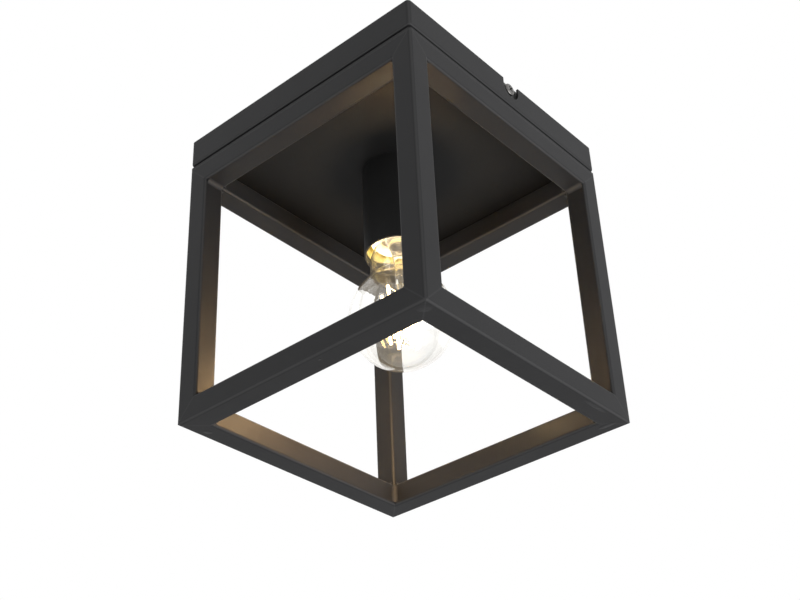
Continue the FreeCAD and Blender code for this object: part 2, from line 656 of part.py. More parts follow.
def holder_body():
    """Porcelain with the lamp's bore below, a web, and a spigot for the cap above."""
    spigot_bore = SPIGOT_RADIUS - 2.2
    body = turned([
        (0, WEB_TOP), (spigot_bore, WEB_TOP), (spigot_bore, WEB_TOP + SPIGOT_HEIGHT),
        (SPIGOT_RADIUS, WEB_TOP + SPIGOT_HEIGHT), (SPIGOT_RADIUS, WEB_TOP), (HOLDER_RADIUS, WEB_TOP),
        (HOLDER_RADIUS, HOLDER_RIM), (HOLDER_MOUTH, HOLDER_RIM),
        (HOLDER_BORE, HOLDER_RIM + HOLDER_MOUTH_DEPTH), (HOLDER_BORE, WEB_UNDER), (0, WEB_UNDER)])
    pocket = PLUNGER_HEAD_RADIUS + RUN_GAP
    body = body.cut(rod(pocket, (0, 0, WEB_UNDER), (0, 0, SPRING_SEAT)))
    return body.cut(rod(PLUNGER_RADIUS + THREAD_GAP, (0, 0, SPRING_SEAT), (0, 0, WEB_TOP)))


def holder_cap():
    """Cap that screws on the porcelain's spigot and hangs on the nipple."""
    bore = SPIGOT_RADIUS + THREAD_GAP
    eye = NIPPLE_RADIUS + THREAD_GAP
    shoulder = 4.0
    return turned([
        (eye, SLEEVE_CEILING), (HOLDER_RADIUS - shoulder, SLEEVE_CEILING),
        (HOLDER_RADIUS, SLEEVE_CEILING - shoulder), (HOLDER_RADIUS, WEB_TOP), (bore, WEB_TOP),
        (bore, CAP_UNDER), (eye, CAP_UNDER)])


def thread_profile(root, crest, top, outwards):
    """Ring-shaped stand-in for the lamp thread: (radius, height) points from the top down."""
    step = THREAD_PITCH / 4
    points = []
    for turn in range(THREAD_RINGS):
        start = top - turn * THREAD_PITCH
        points += [(root, start), (root, start - step), (crest, start - 1.5 * step),
                   (crest, start - 3 * step), (root, start - 3.5 * step)]
    points.append((root, top - THREAD_RINGS * THREAD_PITCH))
    return [(radius + outwards, height) for radius, height in points]


def threaded_shell():
    """Brass shell in the porcelain, with ring-shaped threads."""
    inner = thread_profile(CAP_ROOT, CAP_RADIUS, CAP_THREAD_TOP, LAMP_THREAD_GAP)
    outer = thread_profile(CAP_ROOT, CAP_RADIUS, CAP_THREAD_TOP, LAMP_THREAD_GAP + SHELL_SHEET)
    flange = HOLDER_BORE - THREAD_GAP
    inner_top = (CAP_ROOT + LAMP_THREAD_GAP, WEB_UNDER - SHELL_SHEET)
    profile = [(pocket_rim(), WEB_UNDER - SHELL_SHEET), inner_top] + inner
    profile += outer[::-1] + [(CAP_ROOT + LAMP_THREAD_GAP + SHELL_SHEET, WEB_UNDER - SHELL_SHEET),
                              (flange, WEB_UNDER - SHELL_SHEET), (flange, WEB_UNDER), (pocket_rim(), WEB_UNDER)]
    return turned(profile)


def pocket_rim():
    """Radius of the hole in the shell's top, clear of the contact."""
    return PLUNGER_HEAD_RADIUS + 2.0


def centre_contact():
    """Contact plunger with a head, a stem and a retaining clip."""
    clip_level = WEB_TOP + RUN_GAP
    head = Part.makeCylinder(PLUNGER_HEAD_RADIUS, PLUNGER_HEAD, V(0, 0, CONTACT_LEVEL))
    head = rounded(head, PLUNGER_HEAD * 0.4, lambda edge: edge.BoundBox.ZMax < CONTACT_LEVEL + 1e-6)
    stem = rod(PLUNGER_RADIUS, (0, 0, HEAD_TOP), (0, 0, clip_level + CLIP_THICK + 1))
    clip = ring(PLUNGER_RADIUS + 1.2, PLUNGER_RADIUS, clip_level, clip_level + CLIP_THICK)
    return head.fuse(stem).fuse(clip).removeSplitter()


def contact_spring():
    """Spring round the plunger, as a plain closed sleeve."""
    inner = PLUNGER_RADIUS + THREAD_GAP
    return ring(inner + SPRING_WIRE, inner, HEAD_TOP, SPRING_SEAT)


def holder_terminals():
    """Two brass terminals on the porcelain's web, each with its screw."""
    half = HOLDER_TERMINAL / 2
    pieces = []
    for side in (-1, 1):
        x = side * HOLDER_TERMINAL_X
        body = rounded_block((x - half, -half, WEB_TOP), (x + half, half, WEB_TOP + HOLDER_TERMINAL), 0.6, Z_AXIS)
        pieces.append(body)
        head_y = -half - TERMINAL_SCREW_HEAD
        level = WEB_TOP + half
        screw = Part.makeCylinder(TERMINAL_SCREW_RADIUS, TERMINAL_SCREW_HEAD, V(x, head_y, level), Y_AXIS)
        slot = block((x - TERMINAL_SCREW_RADIUS, head_y, level - 0.3),
                     (x + TERMINAL_SCREW_RADIUS, head_y + 0.6, level + 0.3))
        pieces.append(screw.cut(slot))
    return Part.makeCompound(pieces)


# ---------------------------------------------------------------- lamp

def glass_outline(inset):
    """Edges of the glass from inside the cap down to the tip, moved inwards by the inset."""
    ball = LAMP_RADIUS - inset
    join_angle = math.radians(126)
    join = V(ball * math.sin(join_angle), 0, LAMP_CENTRE - ball * math.cos(join_angle))
    in_cap = CAP_ROOT - CAP_SHEET - THREAD_GAP - inset
    start = V(in_cap, 0, CAP_RIM + 2.0)
    mouth = V(in_cap, 0, CAP_RIM - RUN_GAP)
    below_rim = [(CAP_ROOT + 0.4, -2.6), (CAP_ROOT + 4.0, -9.0), (LAMP_NECK_RADIUS - 0.6, -17.0),
                 (LAMP_NECK_RADIUS, -25.0), (LAMP_NECK_RADIUS + 0.7, -31.5)]
    points = [mouth] + [V(radius - inset, 0, CAP_RIM + drop) for radius, drop in below_rim] + [join]
    neck = Part.BSplineCurve()
    neck.interpolate(Points=points, InitialTangent=V(0, 0, -1),
                     FinalTangent=V(-math.cos(join_angle), 0, -math.sin(join_angle)))
    middle_angle = join_angle / 2
    middle = V(ball * math.sin(middle_angle), 0, LAMP_CENTRE - ball * math.cos(middle_angle))
    tip = V(0, 0, LAMP_CENTRE - ball)
    edges = [Part.LineSegment(start, mouth).toShape(), neck.toShape(), Part.Arc(join, middle, tip).toShape()]
    return edges, start, tip


def lamp_glass():
    """Thin pear-shaped envelope, open inside the cap."""
    outer, outer_start, outer_tip = glass_outline(0)
    inner, inner_start, inner_tip = glass_outline(LAMP_GLASS)
    return turned_edges(outer + inner + [Part.LineSegment(outer_tip, inner_tip).toShape(),
                                         Part.LineSegment(inner_start, outer_start).toShape()])


def lamp_cap():
    """Screw cap with ring-shaped threads."""
    outer = thread_profile(CAP_ROOT, CAP_RADIUS, CAP_THREAD_TOP, 0)
    inner = thread_profile(CAP_ROOT, CAP_RADIUS, CAP_THREAD_TOP, -CAP_SHEET)
    return turned(outer + [(CAP_ROOT, CAP_RIM), (CAP_ROOT - CAP_SHEET, CAP_RIM)] + inner[::-1])


def lamp_insulator():
    """Black glass between the cap and the tip contact."""
    top = LAMP_TIP - TIP_THICK
    rim = CAP_ROOT - CAP_SHEET
    return turned([(0, top), (TIP_RADIUS, top), (rim, CAP_THREAD_TOP + 0.4), (rim, CAP_THREAD_TOP - 2), (0, CAP_THREAD_TOP - 2)])


def lamp_tip():
    """Tip contact."""
    tip = Part.makeCylinder(TIP_RADIUS, TIP_THICK, V(0, 0, LAMP_TIP - TIP_THICK))
    return rounded(tip, TIP_THICK * 0.6, lambda edge: edge.BoundBox.ZMin > LAMP_TIP - 1e-6)


def lamp_stem():
    """Glass mount: a flare in the cap, a press and a thin rod down the middle."""
    flare = CAP_ROOT - CAP_SHEET - LAMP_GLASS - THREAD_GAP
    top = CAP_RIM + 2.0
    arm_top = LAMP_TIP - FILAMENT_START
    arm_bottom = arm_top - FILAMENT_DROP
    profile = [(0, top), (flare, top), (flare - 3.5, CAP_RIM - 6), (4.6, CAP_RIM - 14), (3.6, CAP_RIM - 24),
               (3.2, arm_top + 6), (STEM_ROD, arm_top + 2), (STEM_ROD, arm_bottom + 3), (STEM_FOOT, arm_bottom + 1.6),
               (STEM_FOOT, arm_bottom - 1), (STEM_ROD, arm_bottom - 2), (0, arm_bottom - 2.1)]
    return turned(profile)


def filament_ends(step):
    """Upper and lower end of one filament."""
    angle = 2 * math.pi * (step + 0.5) / FILAMENT_COUNT
    top = LAMP_TIP - FILAMENT_START
    upper = (FILAMENT_TOP_RING * math.cos(angle), FILAMENT_TOP_RING * math.sin(angle), top)
    lower = (FILAMENT_BOTTOM_RING * math.cos(angle), FILAMENT_BOTTOM_RING * math.sin(angle), top - FILAMENT_DROP)
    return upper, lower


def lamp_filaments():
    """Ring of slim light sticks, narrower at the bottom."""
    return Part.makeCompound([rod(FILAMENT_RADIUS, *filament_ends(step)) for step in range(FILAMENT_COUNT)])


def lamp_supports():
    """Wires from the stem's rod to both ends of each filament."""
    wires = []
    for step in range(FILAMENT_COUNT):
        upper, lower = filament_ends(step)
        for end, other, rod_radius in ((upper, lower, STEM_ROD), (lower, upper, STEM_FOOT)):
            near_end = V(*end) + (V(*other) - V(*end)) * 0.02
            outwards = V(near_end.x, near_end.y, 0).normalize()
            start = outwards * rod_radius + V(0, 0, near_end.z)
            wires.append(rod(SUPPORT_WIRE_RADIUS, start, near_end - outwards * FILAMENT_RADIUS))
    return Part.makeCompound(wires)


# ---------------------------------------------------------------- terminal block and wires

def pole_x(pole):
    """Middle of a pole of the terminal block."""
    return (pole - (POLE_COUNT - 1) / 2) * POLE_PITCH


def block_screw_x():
    """Fixing screw of the terminal block, between the first two poles."""
    return pole_x(0) + POLE_PITCH / 2


def pole_screw_places():
    """Middles of the clamping screws, two to a pole."""
    reach = BLOCK_DEPTH / 4
    return [(pole_x(pole), BLOCK_Y + side * reach) for pole in range(POLE_COUNT) for side in (-1, 1)]


def terminal_block():
    """Plastic block with a barrel for each pole."""
    half_length = POLE_COUNT * POLE_PITCH / 2
    y0 = BLOCK_Y - BLOCK_DEPTH / 2
    y1 = BLOCK_Y + BLOCK_DEPTH / 2
    body = rounded_block((-half_length, y0, FLOOR_TOP), (half_length, y1, POLE_LEVEL), 1.0, Z_AXIS)
    top = POLE_LEVEL + BLOCK_BARREL
    for pole in range(POLE_COUNT):
        x = pole_x(pole)
        barrel = block((x - BARREL_WIDTH / 2, y0, POLE_LEVEL - 1), (x + BARREL_WIDTH / 2, y1, top))
        barrel = rounded(barrel, 1.6, lambda edge: runs_along(edge, Y_AXIS) and edge.BoundBox.ZMin > top - 1e-6)
        body = body.fuse(barrel)
    body = body.removeSplitter()
    for pole in range(POLE_COUNT):
        x = pole_x(pole)
        body = body.cut(rod(POLE_TUBE, (x, y0, POLE_LEVEL), (x, y1, POLE_LEVEL)))
    for x, y in pole_screw_places():
        body = body.cut(rod(POLE_SCREW_RADIUS + HOLE_GAP, (x, y, POLE_LEVEL), (x, y, top)))
    middle = (block_screw_x(), BLOCK_Y)
    body = body.cut(rod(BLOCK_SCREW_HEAD + RUN_GAP, middle + (POLE_LEVEL,), middle + (top,)))
    return body.cut(rod(BLOCK_SCREW_RADIUS + HOLE_GAP, middle + (FLOOR_TOP,), middle + (POLE_LEVEL,)))


def pole_tubes():
    """Brass tube in each pole."""
    y0 = BLOCK_Y - BLOCK_DEPTH / 2 + 1
    y1 = BLOCK_Y + BLOCK_DEPTH / 2 - 1
    tubes = []
    for pole in range(POLE_COUNT):
        x = pole_x(pole)
        tube = rod(POLE_TUBE, (x, y0, POLE_LEVEL), (x, y1, POLE_LEVEL))
        tube = tube.cut(rod(POLE_BORE, (x, y0, POLE_LEVEL), (x, y1, POLE_LEVEL)))
        for screw_x, screw_y in pole_screw_places()[2 * pole:2 * pole + 2]:
            tube = tube.cut(rod(POLE_SCREW_RADIUS + THREAD_GAP, (screw_x, screw_y, POLE_LEVEL),
                                (screw_x, screw_y, POLE_LEVEL + POLE_TUBE + 1)))
        tubes.append(tube)
    return Part.makeCompound(tubes)


def pole_screws():
    """Slotted clamping screws, two to a pole."""
    top = POLE_LEVEL + BLOCK_BARREL - 1.2
    screws = []
    for x, y in pole_screw_places():
        screw = rod(POLE_SCREW_RADIUS, (x, y, POLE_LEVEL + WIRE_RADIUS), (x, y, top))
        slot = block((x - POLE_SCREW_RADIUS, y - 0.25, top - 0.7), (x + POLE_SCREW_RADIUS, y + 0.25, top))
        screws.append(screw.cut(slot))
    return Part.makeCompound(screws)


def block_screw():
    """Screw that holds the terminal block on the canopy's floor."""
    x = block_screw_x()
    head = Part.makeCylinder(BLOCK_SCREW_HEAD, 1.2, V(x, BLOCK_Y, POLE_LEVEL))
    shank = rod(BLOCK_SCREW_RADIUS, (x, BLOCK_Y, FLOOR_UNDER - SEAL_THICK * 0.5), (x, BLOCK_Y, POLE_LEVEL))
    screw = head.fuse(shank).removeSplitter()
    return screw.cut(block((x - 3, BLOCK_Y - 0.3, POLE_LEVEL + 0.6), (x + 3, BLOCK_Y + 0.3, POLE_LEVEL + 2)))


def earth_stud():
    """Earth stud welded on the canopy's floor."""
    top = WASHER_TOP + NUT_HEIGHT + STUD_OVER_NUT
    return rod(STUD_RADIUS, (EARTH_STUD_X, EARTH_STUD_Y, FLOOR_TOP), (EARTH_STUD_X, EARTH_STUD_Y, top))


def earth_tag():
    """Ring tag under the earth nut, with a crimp barrel for the wire."""
    tag = ring(WASHER_RADIUS, STUD_RADIUS + HOLE_GAP, FLOOR_TOP, WASHER_TOP, EARTH_STUD_X, EARTH_STUD_Y)
    neck_end = EARTH_STUD_Y + WASHER_RADIUS + TAG_NECK
    barrel_end = neck_end + TAG_BARREL
    neck = block((EARTH_STUD_X - TAG_HALF_WIDTH, EARTH_STUD_Y + STUD_RADIUS + 1, FLOOR_TOP),
                 (EARTH_STUD_X + TAG_HALF_WIDTH, neck_end, WASHER_TOP))
    level = FLOOR_TOP + WIRE_RADIUS + WASHER_THICK
    barrel = rod(WIRE_RADIUS + WASHER_THICK, (EARTH_STUD_X, neck_end - 1, level), (EARTH_STUD_X, barrel_end, level))
    bore = rod(WIRE_RADIUS, (EARTH_STUD_X, neck_end, level), (EARTH_STUD_X, barrel_end, level))
    return tag.fuse(neck).fuse(barrel).cut(bore).removeSplitter()


def earth_nut():
    """Nut on the earth stud."""
    return hexagon(NUT_FLATS, WASHER_TOP, WASHER_TOP + NUT_HEIGHT, STUD_RADIUS + THREAD_GAP, EARTH_STUD_X, EARTH_STUD_Y)


def lamp_wire(side, pole):
    """Wire from a pole, over the nipple's top and down to a holder terminal."""
    start_y = BLOCK_Y - BLOCK_DEPTH / 2 + WIRE_GRIP
    x = pole_x(pole)
    lane = side * WIRE_LANE
    return wire_tube([
        (x, start_y, POLE_LEVEL),
        (x, start_y - WIRE_LEAD, POLE_LEVEL),
        (lane, WIRE_ARCH_START, WIRE_LEVEL),
        (lane, 0, WIRE_LEVEL),
        (lane, 0, CAP_UNDER - 2),
        (side * HOLDER_TERMINAL_X, 0, WEB_TOP + HOLDER_TERMINAL + 0.9)], WIRE_RADIUS)


def earth_wire():
    """Wire from the earth pole round to the earth tag."""
    start_y = BLOCK_Y - BLOCK_DEPTH / 2 + WIRE_GRIP
    lead_end = start_y - WIRE_LEAD
    run_y = lead_end - EARTH_RUN_BACK
    tag_level = FLOOR_TOP + WIRE_RADIUS + WASHER_THICK
    tag_y = EARTH_STUD_Y + WASHER_RADIUS + TAG_NECK + 0.5
    loop_x = EARTH_STUD_X + EARTH_LOOP_SIDE
    x = pole_x(POLE_COUNT - 1)
    return wire_tube([
        (x, start_y, POLE_LEVEL),
        (x, lead_end, POLE_LEVEL),
        (x + EARTH_RUN_START, run_y, POLE_LEVEL - 1),
        (x + EARTH_RUN_END, run_y, POLE_LEVEL - 1.5),
        (loop_x, EARTH_STUD_Y + EARTH_LOOP_START, tag_level + 1),
        (loop_x, EARTH_STUD_Y + EARTH_LOOP_END, tag_level + 0.5),
        (EARTH_STUD_X, EARTH_STUD_Y + EARTH_LOOP_TOP, tag_level),
        (EARTH_STUD_X, tag_y, tag_level)], WIRE_RADIUS)


# ---------------------------------------------------------------- all pieces

def all_parts():
    """Every sub-part by the name of its node."""
    right_tab = hanging_tab()
    right_screw = side_screw()
    made = {}
    made.update(posts())
    made.update(rails())
    made.update({
        "weld_fillets": weld_fillets(),
        "plate_weld": plate_weld(),
        "top_plate": top_plate(),
        "joint_seal": joint_seal(),
        "canopy_box": canopy_box(),
        "hanging_tab_right": right_tab,
        "hanging_tab_left": turned_about(right_tab),
        "tab_rivets": tab_rivets(),
        "plate_studs": plate_studs(),
        "spacer_washers": spacer_washers(),
        "stud_washers": stud_washers(),
        "stud_nuts": stud_nuts(),
        "ceiling_bracket": ceiling_bracket(),
        "clinch_nuts": clinch_nuts(),
        "bracket_earth_screw": bracket_earth_screw(),
        "side_screw_right": right_screw,
        "side_screw_left": turned_about(right_screw),
        "nipple": nipple(),
        "nipple_washer": nipple_washer(),
        "nipple_nut": nipple_nut(),
        "holder_sleeve": holder_sleeve(),
        "sleeve_liner": sleeve_liner(),
        "holder_body": holder_body(),
        "holder_cap": holder_cap(),
        "threaded_shell": threaded_shell(),
        "centre_contact": centre_contact(),
        "contact_spring": contact_spring(),
        "holder_terminals": holder_terminals(),
        "lamp_glass": lamp_glass(),
        "lamp_cap": lamp_cap(),
        "lamp_insulator": lamp_insulator(),
        "lamp_tip": lamp_tip(),
        "lamp_stem": lamp_stem(),
        "lamp_filaments": lamp_filaments(),
        "lamp_supports": lamp_supports(),
        "terminal_block": terminal_block(),
        "pole_tubes": pole_tubes(),
        "pole_screws": pole_screws(),
        "block_screw": block_screw(),
        "earth_stud": earth_stud(),
        "earth_tag": earth_tag(),
        "earth_nut": earth_nut(),
        "live_wire": lamp_wire(-1, 0),
        "neutral_wire": lamp_wire(1, 1),
        "earth_wire": earth_wire(),
    })
    return made


os.makedirs("parts", exist_ok=True)
for node, shape in all_parts().items():
    shape.exportStep(os.path.join("parts", node + ".step"))
    print("%-22s %3d solids, valid %s" % (node, len(shape.Solids), shape.isValid()))
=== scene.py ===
import json
import math

import bmesh
import bpy
from mathutils import Matrix, Vector

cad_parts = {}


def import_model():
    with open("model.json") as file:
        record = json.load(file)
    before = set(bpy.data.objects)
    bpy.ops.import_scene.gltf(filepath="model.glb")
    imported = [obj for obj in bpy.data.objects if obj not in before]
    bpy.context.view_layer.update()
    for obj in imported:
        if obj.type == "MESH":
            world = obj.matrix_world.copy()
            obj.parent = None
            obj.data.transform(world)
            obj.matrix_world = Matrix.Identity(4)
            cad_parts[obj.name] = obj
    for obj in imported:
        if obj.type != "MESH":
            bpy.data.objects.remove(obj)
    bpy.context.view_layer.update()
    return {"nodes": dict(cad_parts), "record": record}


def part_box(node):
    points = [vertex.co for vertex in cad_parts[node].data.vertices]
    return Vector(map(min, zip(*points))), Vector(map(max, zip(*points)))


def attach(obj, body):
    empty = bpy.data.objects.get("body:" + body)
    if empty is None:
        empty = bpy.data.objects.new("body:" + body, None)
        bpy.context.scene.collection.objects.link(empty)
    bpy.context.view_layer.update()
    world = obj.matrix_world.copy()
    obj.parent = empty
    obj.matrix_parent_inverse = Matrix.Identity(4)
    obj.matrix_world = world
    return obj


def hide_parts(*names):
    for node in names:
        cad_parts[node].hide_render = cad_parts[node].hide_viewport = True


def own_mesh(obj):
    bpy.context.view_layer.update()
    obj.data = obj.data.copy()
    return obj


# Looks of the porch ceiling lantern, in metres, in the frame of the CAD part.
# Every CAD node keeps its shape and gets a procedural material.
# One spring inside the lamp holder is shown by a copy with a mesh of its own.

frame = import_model()
NODES = frame["nodes"]

MM = 0.001

# ---------------------------------------------------------------- levels and sizes read from the frame

STICKS_LOW, STICKS_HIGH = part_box("lamp_filaments")
FRAME_LOW, FRAME_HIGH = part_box("bottom_rail_front")


# ---------------------------------------------------------------- node helpers

class Graph:
    """Short way to write a material's nodes."""

    def __init__(self, name):
        self.material = bpy.data.materials.new(name)
        self.material.use_nodes = True
        self.tree = self.material.node_tree
        self.tree.nodes.clear()
        self.output = self.add("ShaderNodeOutputMaterial")
        self.shader = self.add("ShaderNodeBsdfPrincipled")
        self.link(self.shader.outputs["BSDF"], self.output.inputs["Surface"])
        coordinates = self.add("ShaderNodeTexCoord")
        self.place = coordinates.outputs["Object"]
        self.normal = coordinates.outputs["Normal"]

    def add(self, kind, **settings):
        node = self.tree.nodes.new(kind)
        for key, value in settings.items():
            setattr(node, key, value)
        return node

    def link(self, source, target):
        self.tree.links.new(source, target)

    def put(self, socket, value):
        """Sets a socket to a number, a colour or another node's output."""
        if isinstance(value, bpy.types.NodeSocket):
            self.link(value, socket)
        elif isinstance(value, tuple) and len(value) == 3 and socket.type == "RGBA":
            socket.default_value = value + (1.0,)
        else:
            socket.default_value = value

    def set(self, **values):
        """Sets the shader's inputs: base_color=... means Base Color."""
        for key, value in values.items():
            names = {name.lower().replace(" ", "_"): name for name in self.shader.inputs.keys()}
            self.put(self.shader.inputs[names[key]], value)

    def noise(self, size, detail=2.0, rough=0.5, stretch=(1, 1, 1), seed=0.0):
        """Noise from 0 to 1 whose lumps are about size metres wide."""
        mapping = self.add("ShaderNodeMapping")
        mapping.inputs["Location"].default_value = (seed, seed * 0.7, seed * 1.3)
        mapping.inputs["Scale"].default_value = stretch
        self.link(self.place, mapping.inputs["Vector"])
        node = self.add("ShaderNodeTexNoise")
        self.link(mapping.outputs["Vector"], node.inputs["Vector"])
        node.inputs["Scale"].default_value = 1.0 / size
        node.inputs["Detail"].default_value = detail
        node.inputs["Roughness"].default_value = rough
        return node.outputs["Fac"]

    def ramp(self, value, low, high, to_low=0.0, to_high=1.0):
        """Maps low..high to to_low..to_high, clamped."""
        node = self.add("ShaderNodeMapRange", clamp=True)
        self.put(node.inputs["Value"], value)
        node.inputs["From Min"].default_value = low
        node.inputs["From Max"].default_value = high
        node.inputs["To Min"].default_value = to_low
        node.inputs["To Max"].default_value = to_high
        return node.outputs["Result"]

    def math(self, operation, first, second=0.0):
        """Result of one arithmetic step."""
        node = self.add("ShaderNodeMath", operation=operation)
        self.put(node.inputs[0], first)
        self.put(node.inputs[1], second)
        return node.outputs["Value"]

    def mix(self, factor, first, second):
        """Mix of two colours."""
        node = self.add("ShaderNodeMix", data_type="RGBA")
        self.put(node.inputs["Factor"], factor)
        self.put(node.inputs["A"], first)
        self.put(node.inputs["B"], second)
        return node.outputs["Result"]

    def bump(self, height, distance, strength=1.0, onto=None):
        """Normal from a height of 0 to 1 that stands for distance metres."""
        node = self.add("ShaderNodeBump")
        self.put(node.inputs["Height"], height)
        node.inputs["Distance"].default_value = distance
        node.inputs["Strength"].default_value = strength
        if onto is not None:
            self.link(onto, node.inputs["Normal"])
        return node.outputs["Normal"]

    def edge(self, radius):
        """0 on flat faces, up to 1 on edges, from a bevel of that radius."""
        bevel = self.add("ShaderNodeBevel", samples=6)
        bevel.inputs["Radius"].default_value = radius
        geometry = self.add("ShaderNodeNewGeometry")
        dot = self.add("ShaderNodeVectorMath", operation="DOT_PRODUCT")
        self.link(bevel.outputs["Normal"], dot.inputs[0])
        self.link(geometry.outputs["Normal"], dot.inputs[1])
        return self.ramp(dot.outputs["Value"], 1.0, 0.8)

    def arris(self):
        """0 on faces square to the axes, 1 on the rounding between two of them."""
        split = self.add("ShaderNodeSeparateXYZ")
        self.link(self.normal, split.inputs["Vector"])
        sizes = [self.math("ABSOLUTE", split.outputs[axis]) for axis in "XYZ"]
        largest = self.math("MAXIMUM", self.math("MAXIMUM", sizes[0], sizes[1]), sizes[2])
        return self.ramp(largest, 0.985, 0.8)

    def blob(self, centre, along, half_length, half_width):
        """1 at the middle of a long spot, 0 outside it."""
        offset = self.add("ShaderNodeVectorMath", operation="SUBTRACT")
        self.link(self.place, offset.inputs[0])
        offset.inputs[1].default_value = centre
        direction = Vector(along).normalized()
        stretched = self.add("ShaderNodeVectorMath", operation="DOT_PRODUCT")
        self.link(offset.outputs["Vector"], stretched.inputs[0])
        stretched.inputs[1].default_value = direction
        length = self.add("ShaderNodeVectorMath", operation="LENGTH")
        self.link(offset.outputs["Vector"], length.inputs[0])
        lengthwise = self.math("DIVIDE", stretched.outputs["Value"], half_length)
        lengthwise = self.math("MULTIPLY", lengthwise, lengthwise)
        whole = self.math("MULTIPLY", length.outputs["Value"], length.outputs["Value"])
        inline = self.math("MULTIPLY", stretched.outputs["Value"], stretched.outputs["Value"])
        across = self.math("DIVIDE", self.math("SUBTRACT", whole, inline), half_width ** 2)
        return self.ramp(self.math("ADD", lengthwise, across), 1.0, 0.0)


def grey(level):
    """Colour without hue."""
    return (level, level, level)


def scaled(colour, factor):
    """Colour made darker or paler by a factor."""
    return tuple(min(1.0, channel * factor) for channel in colour)


# ---------------------------------------------------------------- materials

# Ground weld spots on the underside, each with a painted glint: middle in x and y, direction, half length
# and half width, in mm.
WELD_AND_GLINT_SPOTS = [
    ((97.0, 64.0), (0, 1, 0), 12.0, 2.0),
    ((87.5, 91.0), (1, 0, 0), 7.0, 2.0),
    ((94.0, -94.0), (1, 0.4, 0), 5.0, 4.0),
    ((-93.0, -81.0), (0.5, 1, 0), 3.5, 2.0),
    ((17.0, -95.0), (1, 0, 0), 1.2, 0.8),
]

COAT = (0.020, 0.020, 0.021)
# The plate's and the sleeve's coats are the frame's coat made darker: painted shade for their place inside
# the cage.
SHADED_PLATE_COAT = (0.009, 0.009, 0.009)
SHADED_SLEEVE_COAT = (0.010, 0.010, 0.010)
# Pale grey painted on the roundings of square parts: a painted highlight.
ARRIS_HIGHLIGHT = (0.055, 0.055, 0.056)
COAT_SPECULAR = 0.16
COAT_EDGE = 1.4 * MM


def powder_coat(name, colour, rough=0.5, welds_and_glints=False, square=False):
    """Fine-textured powder coat: a pebbled skin, with a painted highlight that makes it paler on its edges
    and roundings.
    """
    g = Graph(name)
    fine = g.noise(0.45 * MM, detail=3.0, rough=0.6)
    pebble = g.noise(1.1 * MM, detail=2.0, seed=3.0)
    drift = g.noise(30 * MM, detail=2.0, seed=7.0)
    base = g.mix(g.ramp(drift, 0.3, 0.7), scaled(colour, 0.92), scaled(colour, 1.08))
    base = g.mix(g.ramp(fine, 0.35, 0.75, 0.0, 0.35), base, scaled(colour, 1.5))
    # Paler on the edges: a painted highlight along them.
    paler = g.math("MULTIPLY", g.edge(COAT_EDGE), 0.6)
    base = g.mix(paler, base, tuple(min(1.0, c * 2.0 + 0.01) for c in colour))
    # Paler still on the roundings between square faces: a painted highlight.
    if square:
        base = g.mix(g.math("MULTIPLY", g.arris(), 0.8), base, ARRIS_HIGHLIGHT)
    roughness = g.ramp(fine, 0.3, 0.7, rough - 0.05, rough + 0.07)
    normal = g.bump(fine, 0.035 * MM, 0.5)
    normal = g.bump(pebble, 0.04 * MM, 0.4, onto=normal)
    if welds_and_glints:
        spots = None
        for (x, y), along, half_length, half_width in WELD_AND_GLINT_SPOTS:
            spot = g.blob((x * MM, y * MM, FRAME_LOW.z), along, half_length * MM, half_width * MM)
            spots = spot if spots is None else g.math("MAXIMUM", spots, spot)
        weld_ripple_and_glint = g.math("MULTIPLY", spots, g.ramp(g.noise(2.0 * MM, seed=5.0), 0.2, 0.8, 0.6, 1.0))
        normal = g.bump(weld_ripple_and_glint, 0.5 * MM, 0.6, onto=normal)
        # The paler colour there is a painted glint; the bump and lower roughness stand for the ground weld
        # itself.
        base = g.mix(g.math("MULTIPLY", weld_ripple_and_glint, 0.45), base, scaled(colour, 1.9))
        roughness = g.math("SUBTRACT", roughness, g.math("MULTIPLY", weld_ripple_and_glint, 0.12))
    g.set(base_color=base, roughness=roughness, normal=normal, specular_ior_level=COAT_SPECULAR)
    return g.material


def plated_steel(name, colour, rough=0.28, grain=(1, 1, 1)):
    """Plated steel with fine drawing lines and a cloudy passivation."""
    g = Graph(name)
    lines = g.noise(0.25 * MM, detail=3.0, stretch=grain)
    cloud = g.noise(5 * MM, detail=3.0, seed=2.0)
    base = g.mix(g.ramp(cloud, 0.3, 0.7), scaled(colour, 0.85), colour)
    # Paler on its edges: a painted highlight along them.
    base = g.mix(g.math("MULTIPLY", g.edge(0.4 * MM), 0.5), base, scaled(colour, 1.25))
    normal = g.bump(lines, 0.012 * MM, 0.5)
    g.set(base_color=base, metallic=1.0, normal=normal,
          roughness=g.ramp(cloud, 0.3, 0.7, rough - 0.06, rough + 0.1))
    return g.material


def brass(name, colour, rough=0.22):
    """Brass with a little tarnish in cloudy patches."""
    g = Graph(name)
    cloud = g.noise(4 * MM, detail=4.0)
    lines = g.noise(0.3 * MM, detail=2.0, stretch=(1, 1, 6))
    base = g.mix(g.ramp(cloud, 0.35, 0.75), colour, scaled(colour, 0.62))
    g.set(base_color=base, metallic=1.0, roughness=g.ramp(cloud, 0.3, 0.8, rough, rough + 0.2),
          normal=g.bump(lines, 0.015 * MM, 0.4))
    return g.material


def moulded(name, colour, rough=0.35, speckle=0.12):
    """Moulded plastic or glazed ware with a faint orange-peel surface."""
    g = Graph(name)
    peel = g.noise(1.4 * MM, detail=1.0)
    tone = g.noise(9 * MM, detail=3.0, seed=4.0)
    base = g.mix(g.ramp(tone, 0.3, 0.7), scaled(colour, 1 - speckle), colour)
    g.set(base_color=base, roughness=g.ramp(tone, 0.3, 0.7, rough - 0.05, rough + 0.08),
          normal=g.bump(peel, 0.03 * MM, 0.35))
    return g.material


